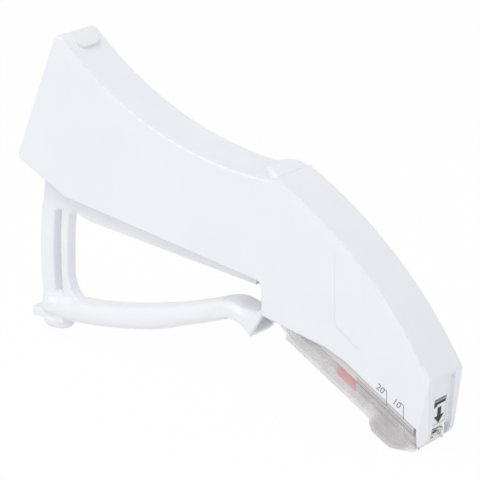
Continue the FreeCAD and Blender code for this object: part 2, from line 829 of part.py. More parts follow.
def build_lever_bar():
    """The lever: a fork at the front, the finger bar, and a round heel with its foot."""
    body = new_body("lever_bar")
    fork = [
        (-3.2, 22.0),
        ("arc", 1.9, 24.1),
        (10.7, 20.0),
        (15.6, 28.4),
        (21.4, 33.8),
        (DRIVE_PIN[0] + 3.2, DRIVE_PIN[1] - 2.4, 2.0),
        (DRIVE_PIN[0] + 3.2, DRIVE_PIN[1] + 2.6, 2.0),
        (DRIVE_PIN[0] - 2.4, DRIVE_PIN[1] + 2.6, 1.0),
        (15.2, 30.4),
        (13.0, 28.4),
        (7.4, 28.2),
        ("arc", 1.8, 29.0),
        (-3.2, 27.4),
    ]
    pad(body, "fork", fork, "lever_width / 2", "lever_width")

    def fork_top(middle, tangent):
        at_side = abs(abs(middle.y) - size.lever_width / 2) < 1e-4 and abs(tangent.y) < 0.5
        return at_side and 27.5 < middle.z < 29.5 and middle.x < 12.0 and abs(tangent.z) < 0.8

    def fork_belly(middle, tangent):
        at_side = abs(abs(middle.y) - size.lever_width / 2) < 1e-4 and abs(tangent.y) < 0.5
        return at_side and middle.z < 25.0 and 1.0 < middle.x < 8.0
    chamfer(body, "fork_top_edge", fork_top, "bar_round * 0.6")
    chamfer(body, "fork_belly_edge", fork_belly, "bar_round * 0.3")
    for name, side in (("near", -1), ("far", 1)):
        narrow = side * size.bar_width / 2
        wide = side * size.lever_width / 2
        flare = [
            (-4.0, narrow),
            (-2.0, narrow),
            ("arc", 1.4, narrow + side * 0.25),
            (5.0, wide),
            (5.0, wide + side),
            (-4.0, wide + side),
        ]
        plan_feature(body, "fork_flare_" + name, flare, "leaf_top", "leaf_top", "Pocket")
    hollow = [
        (6.6, 25.6),
        (8.8, 24.9),
        (11.0, 22.6),
        (12.6, 20.0),
        (16.0, 18.6),
        (32.0, 30.0),
        (32.0, 46.0),
        (20.0, 46.0),
        (14.6, 31.4),
        (13.0, 26.8),
        (7.4, 26.8),
    ]
    pocket(body, "fork_hollow", hollow, "cheek_thickness - lever_width / 2",
           "lever_width - 2 * cheek_thickness")
    round_feature(body, "drive_bore", DRIVE_PIN[0], DRIVE_PIN[1],
                  "lever_pin_diameter + 2 * pin_grip", "-lever_width / 2", "lever_width", "Pocket")
    turned_bar(body)
    heel_top = HEEL_Z + size.bar_height / 2 + 2 * size.seat_gap
    heel_low = HEEL_Z - size.bar_height / 2 - 2 * size.seat_gap
    turned_heel(body, heel_low, heel_top)
    root = [
        (LEAF_OUTER_X, size.leaf_bottom),
        (LEAF_OUTER_X, HEEL_Z),
        on_bar(leaf_end_x + size.root_fillet, 0),
        on_bar(leaf_end_x + size.root_fillet, size.bar_height / 2),
        ("arc", leaf_end_x + 0.29 * size.root_fillet, heel_top + 0.3 * size.root_fillet),
        (leaf_end_x, size.leaf_bottom + 0.8 * size.root_fillet),
        (leaf_end_x, size.leaf_bottom),
    ]
    pad(body, "leaf_root", root, "leaf_width / 2", "leaf_width")
    flange_rear = LEAF_OUTER_X - size.flange_reach
    flange_half = size.flange_width / 2
    flange = [
        (flange_rear, -flange_half, flange_half / 2),
        (HEEL_X + size.foot_diameter / 2, -flange_half),
        (HEEL_X + size.foot_diameter / 2, flange_half),
        (flange_rear, flange_half, flange_half / 2),
    ]
    plan_feature(body, "flange", flange, "foot_bottom + flange_thickness", "flange_thickness")
    plan_feature(body, "foot", circle_at(FOOT_X, 0, size.foot_diameter / 2), "foot_bottom",
                 "flange_thickness + 0.4")

    def foot_rim(middle, tangent):
        return abs(middle.z - size.foot_bottom) < 1e-4
    chamfer(body, "foot_edge", foot_rim, "foot_chamfer")
    return body


def build_pin(label, x, z, diameter, length):
    body = new_body(label)
    round_feature(body, label + "_shaft", x, z, diameter, "(%s) / 2" % length, length)
    return body


# Rocker and ram

def on_rocker(along, across, arm):
    """A point beside the rocker's rear or front arm, measured from its pivot."""
    target = DRIVE_PIN if arm == "rear" else (size.ram_pin_x, size.ram_pin_z)
    dx = target[0] - size.pivot_x
    dz = target[1] - size.pivot_z
    reach = math.hypot(dx, dz)
    return (size.pivot_x + (along * dx - across * dz) / reach,
            size.pivot_z + (along * dz + across * dx) / reach)


def build_rocker():
    body = new_body("rocker")
    rear = math.hypot(DRIVE_PIN[0] - size.pivot_x, DRIVE_PIN[1] - size.pivot_z)
    front = math.hypot(size.ram_pin_x - size.pivot_x, size.ram_pin_z - size.pivot_z)
    slot_half = size.lever_pin_diameter / 2 + size.slot_play
    prong = slot_half + 1.6
    tip = rear + 8.2
    end_radius = 1.6
    rear_arm = [on_rocker(0, prong, "rear"), on_rocker(0, -prong, "rear"),
                on_rocker(tip, -prong, "rear"), on_rocker(tip, prong, "rear")]
    pad(body, "rear_arm", rear_arm, "rocker_width / 2", "rocker_width")
    front_arm = [on_rocker(0, size.rocker_arm / 2, "front"), on_rocker(0, -size.rocker_arm / 2, "front"),
                 on_rocker(front, -end_radius, "front"), on_rocker(front, end_radius, "front")]
    pad(body, "front_arm", front_arm, "rocker_width / 2", "rocker_width")
    round_feature(body, "front_end", size.ram_pin_x, size.ram_pin_z, "3.2",
                  "rocker_width / 2", "rocker_width")
    round_feature(body, "hub", size.pivot_x, size.pivot_z, "pivot_diameter + 3.4",
                  "rocker_width / 2 + 1", "rocker_width + 2")
    slot = [on_rocker(rear - slot_half - 0.4, slot_half, "rear"),
            on_rocker(rear - slot_half - 0.4, -slot_half, "rear"),
            on_rocker(tip + 1, -slot_half, "rear"), on_rocker(tip + 1, slot_half, "rear")]
    pocket(body, "rear_slot", slot, "-rocker_width / 2 - 1", "rocker_width + 2")
    round_feature(body, "hub_bore", size.pivot_x, size.pivot_z, "pivot_diameter + 2 * running_fit",
                  "-rocker_width / 2 - 1", "rocker_width + 2", "Pocket")
    round_feature(body, "ram_pin_bore", size.ram_pin_x, size.ram_pin_z,
                  "ram_pin_diameter + 2 * pin_grip", "-rocker_width / 2 - 1", "rocker_width + 2",
                  "Pocket")
    return body


ram_back = size.feed_x - size.ram_thickness / 2
ram_front = size.feed_x + size.ram_thickness / 2
SLOT_TRAVEL = 2.4
SLOT_FIT = 0.15


def build_ram_former():
    body = new_body("ram_former")
    top = size.ram_pin_z + size.carrier_height / 2 - 0.4
    plate = [(ram_back, size.ram_bottom), (ram_front, size.ram_bottom), (ram_front, top), (ram_back, top)]
    pad(body, "former_plate", plate, "ram_width / 2", "ram_width")
    notch = [(ram_back - 1, size.ram_bottom - 1), (ram_front + 1, size.ram_bottom - 1),
             (ram_front + 1, size.ram_bottom + 4.6), (ram_back - 1, size.ram_bottom + 4.6)]
    pocket(body, "former_notch", notch, "-ram_notch / 2", "ram_notch")
    return body


def build_ram_carrier():
    """Two cheeks on the former's back, with the slot that the rocker's pin works in."""
    body = new_body("ram_carrier")
    low = size.ram_pin_z - size.carrier_height / 2
    high = size.ram_pin_z + size.carrier_height / 2
    rear = size.ram_pin_x - SLOT_TRAVEL - 2.2
    block = [(rear, low), (ram_back, low), (ram_back, high), (rear, high)]
    pad(body, "carrier_block", block, "ram_width / 2", "ram_width")
    gap = [(rear - 1, low - 1), (ram_back + 1, low - 1), (ram_back + 1, high + 1), (rear - 1, high + 1)]
    pocket(body, "carrier_gap_cut", gap, "-carrier_gap / 2", "carrier_gap")
    slot_half = size.ram_pin_diameter / 2 + SLOT_FIT
    slot = [(size.ram_pin_x - SLOT_TRAVEL - slot_half, size.ram_pin_z - slot_half, slot_half * 0.98),
            (size.ram_pin_x + slot_half, size.ram_pin_z - slot_half, slot_half * 0.98),
            (size.ram_pin_x + slot_half, size.ram_pin_z + slot_half, slot_half * 0.98),
            (size.ram_pin_x - SLOT_TRAVEL - slot_half, size.ram_pin_z + slot_half, slot_half * 0.98)]
    pocket(body, "carrier_slot", slot, "-ram_width / 2 - 1", "ram_width + 2")
    return body


# Magazine

track_rear = size.magazine_rear + size.plug_length
track_front = size.feed_x - size.track_setback
track_low = size.track_top + size.track_depth
guide_front = size.magazine_front - size.feed_play
spring_rise = -size.track_top - 1.05


def feed_strip(start_x, end_x, low, high):
    """A strip along the feed line between two rises, cut upright at both ends."""
    return [
        above_rail(start_x, low),
        above_rail(end_x, low),
        above_rail(end_x, high),
        above_rail(start_x, high),
    ]


MAGAZINE_SOLE = (62.6, 0.0)
MAGAZINE_TOE = (70.6, 0.7)


def build_magazine_cover():
    body = new_body("magazine_cover")
    rear = size.magazine_rear
    front = size.magazine_front
    drop = size.magazine_drop
    wall = size.magazine_wall
    outline = [
        (rear, rail_z(rear)),
        (rear, rail_z(rear) - drop + 2.4),
        (rear + 2.0, rail_z(rear + 2.0) - drop + 1.6),
        (rear + 1.9, rail_z(rear + 1.9) - drop),
        (55.1, rail_z(55.1) - drop, 0.5),
        (55.2, 5.4),
        (56.2, 3.4),
        (60.3, 1.0),
        MAGAZINE_SOLE,
        (front, MAGAZINE_TOE[1], 0.4),
        (front, rail_z(front)),
    ]
    pad(body, "magazine_shell", outline, "magazine_width / 2", "magazine_width")
    floor = drop - wall / feed_cos
    inside = [
        (rear + wall, rail_z(rear + wall) + 2),
        (rear + wall, rail_z(rear + wall) - drop + 3.0),
        (rear + 3.0, rail_z(rear + 3.0) - floor),
        (55.9, rail_z(55.9) - floor),
        (56.1, 5.4),
        (56.9, 3.9),
        (60.8, 1.7),
        (MAGAZINE_SOLE[0] + 0.2, wall),
        (front + 1, MAGAZINE_TOE[1] + wall),
        (front + 1, rail_z(front + 1) + 2),
    ]
    pocket(body, "magazine_hollow", inside, "magazine_wall - magazine_width / 2",
           "magazine_width - 2 * magazine_wall")
    return body


def build_feed_guide():
    """The channel over the staples that closes the cover and sits inside the shell."""
    body = new_body("feed_guide")
    base = feed_strip(size.magazine_rear + 0.2, guide_front, 0.1, 0.1 + size.guide_thickness)
    pad(body, "guide_base", base, "magazine_width / 2", "magazine_width")
    sides = feed_strip(33.0, guide_front, 0.1, size.guide_height)
    pad(body, "guide_left", sides, "magazine_wall - magazine_width / 2", "magazine_wall")
    pad(body, "guide_right", sides, "magazine_width / 2", "magazine_wall")
    return body


def build_track():
    """The bar that the crowns ride on, grooved for the follower's spring."""
    body = new_body("staple_track")
    strip = feed_strip(track_rear, track_front, -track_low, -size.track_top)
    pad(body, "track_bar", strip, "track_width / 2", "track_width")
    groove = feed_strip(track_rear - 1, track_front + 1, size.track_floor - track_low, 0)
    pocket(body, "track_groove_cut", groove, "-track_groove / 2", "track_groove")
    for name, x in (("rear", track_rear + 1.5), ("front", 50.0)):
        floor = size.magazine_drop * feed_cos - size.magazine_wall - size.seat_gap
        leg = feed_strip(x, x + 1.6, -floor, size.track_floor - track_low)
        pad(body, "track_leg_" + name, leg, "track_groove / 2", "track_groove")
    return body


def build_magazine_plug():
    """Closes the rear of the magazine and holds the spring's rod in a socket."""
    body = new_body("magazine_plug")
    start = size.magazine_rear + size.magazine_wall + size.seat_gap
    strip = feed_strip(start, track_rear - size.seat_gap, -track_low, -size.seat_gap)
    pad(body, "plug_block", strip, "track_width / 2", "track_width")
    socket_half = size.rod_diameter / 2 + size.seat_gap
    socket = feed_strip(start + size.magazine_wall, track_rear + 1,
                        spring_rise - socket_half, spring_rise + socket_half)
    pocket(body, "rod_socket", socket, "-rod_diameter / 2 - seat_gap", "rod_diameter + 2 * seat_gap")
    return body


def staple_shape(x):
    """One open staple, standing square across the feed line."""
    wire = size.wire
    top = rail_z(x) - size.feed_play
    crown = Part.makeBox(wire, size.staple_width, wire,
                         Vector(x - wire / 2, -size.staple_width / 2, top - wire))
    shape = crown
    for y in (-size.staple_width / 2, size.staple_width / 2 - wire):
        leg = Part.makeBox(wire, wire, size.leg_length, Vector(x - wire / 2, y, top - size.leg_length))
        shape = shape.fuse(leg)
    return shape.removeSplitter()


def build_staples():
    stack = doc.addObject("Part::Feature", "staple_stack")
    stack.Label = "staple_stack"
    shapes = [staple_shape(size.feed_x - (number + 1) * size.staple_pitch)
              for number in range(int(size.staple_count))]
    stack.Shape = Part.makeCompound(shapes)
    ready = doc.addObject("Part::Feature", "ready_staple")
    ready.Label = "ready_staple"
    ready.Shape = staple_shape(size.feed_x)
    return stack, ready


stack_rear = size.feed_x - size.staple_count * size.staple_pitch - size.wire / 2
follower_front = stack_rear - 0.05
follower_rear = follower_front - size.follower_length


def build_follower():
    """The pusher: it straddles the track and its tongue runs in the groove."""
    body = new_body("follower")
    top = feed_strip(follower_rear, follower_front, 0.1 - size.track_top, -size.feed_play)
    pad(body, "follower_top", top, "staple_width / 2", "staple_width")
    skirt = feed_strip(follower_rear, follower_front, -size.leg_length, -size.feed_play)
    pad(body, "follower_left", skirt, "-staple_width / 2 + wire", "wire")
    pad(body, "follower_right", skirt, "staple_width / 2", "wire")
    tongue_front = follower_front - size.track_setback
    tongue = feed_strip(follower_rear, tongue_front, size.track_floor + 0.2 - track_low,
                        -size.feed_play)
    pad(body, "follower_tongue", tongue, "track_groove / 2 - 0.3", "track_groove - 0.6")
    bore = feed_strip(follower_rear - 1, follower_front + 1,
                      spring_rise - size.rod_diameter / 2 - 0.1,
                      spring_rise + size.rod_diameter / 2 + 0.1)
    pocket(body, "follower_bore", bore, "-rod_diameter / 2 - 0.1", "rod_diameter + 0.2")
    return body


def feed_direction():
    return Vector(feed_cos, 0, -feed_sin)


def build_rod():
    rod = doc.addObject("Part::Cylinder", "spring_rod")
    rod.Label = "spring_rod"
    bind(rod, "Radius", "rod_diameter / 2")
    start_x = track_rear - size.plug_length / 4
    rod.Height = (track_front - 2.0 - start_x) / feed_cos
    start = above_rail(start_x, spring_rise)
    rod.Placement = FreeCAD.Placement(Vector(start[0], 0, start[1]),
                                      FreeCAD.Rotation(Vector(0, 0, 1), feed_direction()))
    return rod


COIL_RUNS = 12


def coil(length, radius, wire_radius, turns, start, direction):
    """A compression spring of square wire in short straight runs, from start along direction."""
    stations = []
    for number in range(int(turns) * COIL_RUNS + 1):
        turn = math.radians(360.0 * number / COIL_RUNS)
        rise = length * number / (turns * COIL_RUNS)
        stations.append([Vector((radius + out) * math.cos(turn), (radius + out) * math.sin(turn), rise + up)
                         for out, up in ((wire_radius, wire_radius), (-wire_radius, wire_radius),
                                         (-wire_radius, -wire_radius), (wire_radius, -wire_radius))])
    faces = [Part.Face(Part.makePolygon(end + end[:1])) for end in (stations[0], stations[-1])]
    for here, there in zip(stations, stations[1:]):
        for side in range(4):
            along = (side + 1) % 4
            for corners in ((here[side], there[side], there[along]),
                            (here[side], there[along], here[along])):
                faces.append(Part.Face(Part.makePolygon(corners + corners[:1])))
    spring = Part.makeSolid(Part.makeShell(faces))
    spring.Placement = FreeCAD.Placement(start, FreeCAD.Rotation(Vector(0, 0, 1), direction))
    return spring


def build_spring():
    spring = doc.addObject("Part::Feature", "follower_spring")
    spring.Label = "follower_spring"
    wire = size.spring_wire
    start = above_rail(track_rear, spring_rise)
    end = above_rail(follower_rear, spring_rise)
    slant = size.spring_diameter / 2 * feed_slope + wire
    length = math.hypot(end[0] - start[0], end[1] - start[1]) - 2 * slant
    direction = feed_direction()
    base = Vector(start[0], 0, start[1]) + direction * slant
    spring.Shape = coil(length, (size.spring_diameter - wire) / 2, wire / 2, size.spring_turns,
                        base, direction)
    return spring


def build_anvil():
    """The lip under the ready staple's crown, with a tail under the track."""
    body = new_body("anvil")
    lip_top = rail_z(size.feed_x) - size.feed_play - size.wire - size.seat_gap
    lip_low = lip_top - size.anvil_thickness
    foot_x = track_front + 2 * size.seat_gap
    lip_rear = size.feed_x - 1.5
    lip_front = size.feed_x + 0.6
    tail_x = track_front - 6.0
    tail_high = (track_low + size.seat_gap) / feed_cos
    tail_low = (track_low + size.seat_gap + size.anvil_thickness) / feed_cos
    outline = [
        (tail_x, rail_z(tail_x) - tail_low),
        (foot_x + 0.2, rail_z(foot_x + 0.2) - tail_low),
        (lip_rear + 0.3, lip_low),
        (lip_front, lip_low),
        (lip_front, lip_top),
        (lip_rear, lip_top),
        (foot_x, rail_z(foot_x) - tail_high),
        (tail_x, rail_z(tail_x) - tail_high),
    ]
    pad(body, "anvil_strip", outline, "ram_notch / 2 - 0.3", "ram_notch - 0.6")
    return body


def chute_floor_z(x):
    """Height of the magazine's floor in its level front part."""
    slope = (MAGAZINE_TOE[1] - MAGAZINE_SOLE[1]) / (size.magazine_front - MAGAZINE_SOLE[0])
    return MAGAZINE_SOLE[1] + size.magazine_wall + (x - MAGAZINE_SOLE[0]) * slope


def build_ejector():
    """A thin leaf below the anvil that lifts the closed staple off its lip."""
    body = new_body("ejector_spring")
    bend_x = size.feed_x - 2.0
    tip_x = size.feed_x + 0.2
    rear_x = size.feed_x - 9.4
    leaf = size.ejector_thickness
    outline = [
        (rear_x, chute_floor_z(rear_x) + 1.9),
        (rear_x + 1.5, chute_floor_z(rear_x + 1.5) + size.seat_gap),
        (bend_x, chute_floor_z(bend_x) + size.seat_gap),
        (tip_x, chute_floor_z(tip_x) + 1.3),
        (tip_x - leaf, chute_floor_z(tip_x) + 1.3 + leaf),
        (bend_x - leaf / 2, chute_floor_z(bend_x) + size.seat_gap + leaf),
        (rear_x + 1.5 + leaf / 2, chute_floor_z(rear_x + 1.5) + size.seat_gap + leaf),
        (rear_x + leaf, chute_floor_z(rear_x) + 1.9 + leaf / 2),
    ]
    pad(body, "ejector_leaf", outline, "ejector_width / 2", "ejector_width")
    return body


build_left_cover()
build_right_housing()
build_assembly_pins()
build_palm_pad()
build_brow_pad()
build_front_panel()
build_indicator_plate()
build_lever_anchor()
build_leaf("outer_leaf", LEAF_OUTER_X, size.leaf_thickness)
build_leaf("inner_leaf", inner_leaf_x, size.inner_leaf_thickness)
build_lever_bar()
build_pin("drive_pin", DRIVE_PIN[0], DRIVE_PIN[1], "lever_pin_diameter", "lever_width")
build_rocker()
build_pin("rocker_pivot", size.pivot_x, size.pivot_z, "pivot_diameter", "thickness - 2 * wall - 0.2")
build_pin("ram_pin", size.ram_pin_x, size.ram_pin_z, "ram_pin_diameter", "ram_width - 0.4")
build_ram_former()
build_ram_carrier()
build_magazine_cover()
build_feed_guide()
build_track()
build_magazine_plug()
build_staples()
build_follower()
build_rod()
build_spring()
build_anvil()
build_ejector()

doc.recompute()
os.makedirs("parts", exist_ok=True)
for obj in doc.Objects:
    if any(state in obj.State for state in ("Invalid", "Error")):
        raise RuntimeError("%s failed" % obj.Label)
for obj in doc.Objects:
    whole = obj.TypeId == "PartDesign::Body" or obj.getParentGeoFeatureGroup() is None
    if not whole or obj.TypeId.startswith("Spreadsheet"):
        continue
    if obj.Shape.isNull() or not obj.Shape.isValid():
        raise RuntimeError("%s has no valid shape" % obj.Label)
    obj.Shape.exportStep("parts/%s.step" % obj.Label)
    print(obj.Label, round(obj.Shape.Volume, 1), len(obj.Shape.Solids))
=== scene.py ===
import bmesh
import bpy
import json
import math
from mathutils import Matrix, Vector


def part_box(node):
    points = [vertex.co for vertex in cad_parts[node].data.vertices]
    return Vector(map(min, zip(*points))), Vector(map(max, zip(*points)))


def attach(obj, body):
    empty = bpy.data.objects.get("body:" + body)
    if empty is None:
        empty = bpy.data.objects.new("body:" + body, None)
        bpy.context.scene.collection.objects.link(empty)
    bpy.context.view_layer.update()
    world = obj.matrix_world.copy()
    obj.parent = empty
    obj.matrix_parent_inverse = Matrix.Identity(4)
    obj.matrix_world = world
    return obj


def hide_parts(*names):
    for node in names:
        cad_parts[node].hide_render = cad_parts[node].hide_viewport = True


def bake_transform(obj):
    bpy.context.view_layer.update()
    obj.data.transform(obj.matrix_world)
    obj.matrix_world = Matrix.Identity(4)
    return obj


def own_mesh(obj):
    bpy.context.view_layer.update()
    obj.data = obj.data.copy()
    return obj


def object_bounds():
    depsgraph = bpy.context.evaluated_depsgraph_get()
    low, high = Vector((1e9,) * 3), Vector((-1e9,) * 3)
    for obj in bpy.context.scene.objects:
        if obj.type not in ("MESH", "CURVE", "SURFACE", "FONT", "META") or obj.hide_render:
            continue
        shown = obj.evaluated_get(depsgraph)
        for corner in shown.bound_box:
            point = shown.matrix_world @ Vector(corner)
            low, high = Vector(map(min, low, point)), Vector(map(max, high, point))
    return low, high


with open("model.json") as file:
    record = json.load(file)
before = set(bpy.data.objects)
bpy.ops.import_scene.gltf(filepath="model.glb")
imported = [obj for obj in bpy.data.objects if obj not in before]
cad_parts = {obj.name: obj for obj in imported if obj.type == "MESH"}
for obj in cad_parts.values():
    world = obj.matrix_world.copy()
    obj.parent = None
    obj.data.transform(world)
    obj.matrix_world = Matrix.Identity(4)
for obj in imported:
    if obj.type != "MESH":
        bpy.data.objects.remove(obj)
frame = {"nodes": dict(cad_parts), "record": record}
cad_low, cad_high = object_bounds()
nodes = frame["nodes"]
scene = bpy.context.scene

# Shapes are written in millimetres, and MM turns them into metres
MM = 0.001

REARWARD = Vector((-1, 0, 0))
FORWARD = Vector((1, 0, 0))


# The magazine's slanted feed line, which its plastic, staples, spring and ribs follow

FEED_ANGLE = math.radians(29.4)
FEED_WAY = Vector((math.cos(FEED_ANGLE), 0.0, -math.sin(FEED_ANGLE)))
FEED_X = 71.4
FEED_Z = 5.3


def feed_z(x):
    """Height of the feed line at x."""
    return FEED_Z + (FEED_X - x) * math.tan(FEED_ANGLE)


# Node trees

# Most values of a noise pattern lie in this span
PATTERN_LOW = 0.3
PATTERN_HIGH = 0.7


class Tree:
    """A short way to fill the node tree of a material or a world."""

    def __init__(self, owner):
        owner.use_nodes = True
        self.tree = owner.node_tree
        self.tree.nodes.clear()

    def add(self, kind, inputs=None, **settings):
        """A new node with its settings and the values of its inputs."""
        node = self.tree.nodes.new(kind)
        for name, value in settings.items():
            setattr(node, name, value)
        for entry, value in (inputs or {}).items():
            node.inputs[entry].default_value = value
        return node

    def link(self, source, output, target, entry):
        self.tree.links.new(source.outputs[output], target.inputs[entry])

    def any_ray(self, first, *others):
        """1 for rays of the kinds named, 0 for all others."""
        ray = self.add("ShaderNodeLightPath")
        source, output = ray, first
        for kind in others:
            either = self.add("ShaderNodeMath", operation="MAXIMUM")
            self.link(source, output, either, 0)
            self.link(ray, kind, either, 1)
            source, output = either, "Value"
        return source


class Finish(Tree):
    """A material's tree, with its shader and with patterns in the object's coordinates."""

    def __init__(self, name):
        self.material = bpy.data.materials.new(name)
        super().__init__(self.material)
        self.output = self.add("ShaderNodeOutputMaterial")
        self.surface = self.add("ShaderNodeBsdfPrincipled")
        self.link(self.surface, "BSDF", self.output, "Surface")
        self.place = self.add("ShaderNodeTexCoord")

    def set(self, **values):
        """Values of the shader's own inputs."""
        for name, value in values.items():
            self.surface.inputs[name.replace("_", " ")].default_value = value

    def noise(self, scale, detail, roughness=0.5):
        pattern = self.add("ShaderNodeTexNoise",
                           {"Scale": scale, "Detail": detail, "Roughness": roughness})
        self.link(self.place, "Object", pattern, "Vector")
        return pattern

    def ramp(self, pattern, low, high):
        """A colour between two colours, after the pattern."""
        node = self.add("ShaderNodeValToRGB")
        ends = ((PATTERN_LOW, low), (PATTERN_HIGH, high))
        for element, (position, colour) in zip(node.color_ramp.elements, ends):
            element.position = position
            element.color = colour
        self.link(pattern, "Fac", node, "Fac")
        return node

    def range(self, source, output, low, high, start=PATTERN_LOW, end=PATTERN_HIGH):
        """A value from low to high while the source goes from start to end."""
        node = self.add("ShaderNodeMapRange", {"From Min": start, "From Max": end,
                                               "To Min": low, "To Max": high})
        self.link(source, output, node, "Value")
        return node

    def tint(self, pattern, low, high):
        """Base colour between two colours, after the pattern."""
        self.link(self.ramp(pattern, low, high), "Color", self.surface, "Base Color")

    def gloss(self, pattern, low, high):
        """Roughness between two values, after the pattern."""
        self.link(self.range(pattern, "Fac", low, high), "Result", self.surface, "Roughness")

    def bump(self, pattern, strength, distance, normal=None):
        """Relief after the pattern, on top of a node's normal where one is given."""
        node = self.add("ShaderNodeBump", {"Strength": strength, "Distance": distance})
        self.link(pattern, "Fac", node, "Height")
        if normal is not None:
            self.link(normal, "Normal", node, "Normal")
        self.link(node, "Normal", self.surface, "Normal")


def rgba(red, green, blue):
    return (red, green, blue, 1.0)


def shade(colour, factor):
    return tuple(channel * factor for channel in colour[:3]) + (1.0,)


# Kinds of material

# Distances from the middle plane at which edges start to get softer and are as soft as the rim
RIM_START = 7.6
RIM_FULL = 8.2

# The magazine's toe gets denser and darker from the first to the second of two lines along the
# feed, which are given by their heights at x 0; the darkening is painted shade for the
# refraction in the thick plastic
TOE_TOP = 39.3
TOE_DEEP = 37.2
TOE_SHADE = rgba(0.80, 0.79, 0.80)


def moulded(name, colour, roughness, edge=0.25, grain=0.02, rim=None):
    """Moulded plastic: satin grain, faint flow clouds, soft edges, softer ones at the rim."""
    graph = Finish(name)
    clouds = graph.noise(scale=60.0, detail=3.0)
    graph.tint(clouds, shade(colour, 0.985), shade(colour, 1.01))
    wear = graph.noise(scale=240.0, detail=4.0, roughness=0.6)
    graph.gloss(wear, roughness * 0.88, roughness * 1.12)
    graph.set(IOR=1.46)
    soft = graph.add("ShaderNodeBevel", {"Radius": edge * MM}, samples=12)
    if rim is not None:
        axes = graph.add("ShaderNodeSeparateXYZ")
        graph.link(graph.place, "Object", axes, "Vector")
        outward = graph.add("ShaderNodeMath", operation="ABSOLUTE")
        graph.link(axes, "Y", outward, 0)
        radius = graph.range(outward, "Value", edge * MM, rim * MM,
                             RIM_START * MM, RIM_FULL * MM)
        graph.link(radius, "Result", soft, "Radius")
    fine = graph.noise(scale=5200.0, detail=2.0)
    graph.bump(fine, strength=0.06, distance=grain * MM, normal=soft)
    return graph.material


def steel(name, colour, roughness, streak):
    """Metal with fine drawing lines along one axis."""
    graph = Finish(name)
    graph.set(Metallic=1.0, IOR=2.5)
    stretch = graph.add("ShaderNodeMapping", {"Scale": streak})
    graph.link(graph.place, "Object", stretch, "Vector")
    lines = graph.noise(scale=900.0, detail=3.0, roughness=0.6)
    graph.link(stretch, "Vector", lines, "Vector")
    graph.tint(lines, shade(colour, 0.86), shade(colour, 1.06))
    graph.gloss(lines, roughness * 0.7, roughness * 1.3)
    graph.bump(lines, strength=0.12, distance=0.01 * MM)
    return graph.material


def clear(name, colour, roughness, cover, toe_cover):
    """Clear moulded plastic with faint flow marks whose light and dark patches also paint the
    refraction, denser in the thick toe and darker there with painted shade.
    """
    graph = Finish(name)
    clouds = graph.noise(scale=200.0, detail=3.0)
    below = graph.add("ShaderNodeVectorMath", {1: (math.tan(FEED_ANGLE), 0.0, 1.0)},
                      operation="DOT_PRODUCT")
    graph.link(graph.place, "Object", below, 0)
    toe = graph.range(below, "Value", 1.0, 0.0, TOE_DEEP * MM, TOE_TOP * MM)
    # The colour's light and dark patches are partly flow marks and partly painted refraction
    tint = graph.ramp(clouds, shade(colour, 0.80), shade(colour, 1.12))
    # Darkening towards the toe: painted shade for the light that the thick plastic bends away
    darken = graph.add("ShaderNodeMixRGB", {"Color2": TOE_SHADE}, blend_type="MULTIPLY")
    graph.link(toe, "Result", darken, "Fac")
    graph.link(tint, "Color", darken, "Color1")
    graph.link(darken, "Color", graph.surface, "Base Color")
    graph.gloss(clouds, roughness * 0.7, roughness * 1.5)
    graph.set(IOR=1.5, Coat_Weight=0.5, Coat_Roughness=0.1)
    density = graph.range(toe, "Result", cover, toe_cover, 0.0, 1.0)
    graph.link(density, "Result", graph.surface, "Alpha")
    graph.bump(clouds, strength=0.12, distance=0.05 * MM)
    return graph.material


def ink(name, colour):
    """Printed ink, slightly uneven."""
    graph = Finish(name)
    patch = graph.noise(scale=1500.0, detail=3.0)
    graph.tint(patch, shade(colour, 0.8), shade(colour, 1.2))
    graph.gloss(patch, low=0.4, high=0.55)
    return graph.material


# The object's materials

SHELL_WHITE = rgba(0.868, 0.884, 0.926)
LEVER_WHITE = rgba(0.885, 0.9, 0.935)
INNER_GREY = rgba(0.70, 0.69, 0.69)
FOLLOWER_RED = rgba(0.96, 0.15, 0.12)
MAGAZINE_CLEAR = rgba(0.84, 0.825, 0.83)
# Dark tint of the magazine's ribs: painted shade for the staple legs and track edges seen
# through the clear plastic
RIB_SHADE_CLEAR = rgba(0.42, 0.41, 0.42)
PIN_STEEL = rgba(0.62, 0.61, 0.60)
PLATE_STEEL = rgba(0.55, 0.54, 0.53)
STAPLE_STEEL = rgba(0.93, 0.92, 0.92)
# This black serves the printed arrow and the painted shade of the window's gap
BLACK_INK_AND_GAP_SHADE = rgba(0.012, 0.012, 0.013)
INK_GREY = rgba(0.20, 0.24, 0.29)
LINES_ALONG_Y = (1.0, 0.05, 1.0)
LINES_ALONG_Z = (1.0, 1.0, 0.05)

shell = moulded("shell_white", SHELL_WHITE, roughness=0.34, edge=0.08, rim=0.6)
lever_white = moulded("lever_white", LEVER_WHITE, roughness=0.34)
grey = moulded("inner_grey", INNER_GREY, roughness=0.45)
red = moulded("follower_red", FOLLOWER_RED, roughness=0.3)
clear_plastic = clear("magazine_clear", MAGAZINE_CLEAR, roughness=0.2,
                      cover=0.3, toe_cover=0.56)
# The ribs' dark clear material is painted shade for the staple legs and track edges seen
# through the cover
rib_painted_shade = clear("magazine_rib_shade", RIB_SHADE_CLEAR, roughness=0.25, cover=0.35, toe_cover=0.35)
bright = steel("bright_steel", PIN_STEEL, roughness=0.22, streak=LINES_ALONG_Y)
satin = steel("satin_steel", PLATE_STEEL, roughness=0.34, streak=LINES_ALONG_Z)
wire = steel("staple_wire", STAPLE_STEEL, roughness=0.36, streak=LINES_ALONG_Y)
# Black ink for the printed arrow, also used as painted shade for the window's dark gap
black_print_and_gap_shade = ink("black_print_and_gap_shade", BLACK_INK_AND_GAP_SHADE)
print_grey = ink("print_grey", INK_GREY)

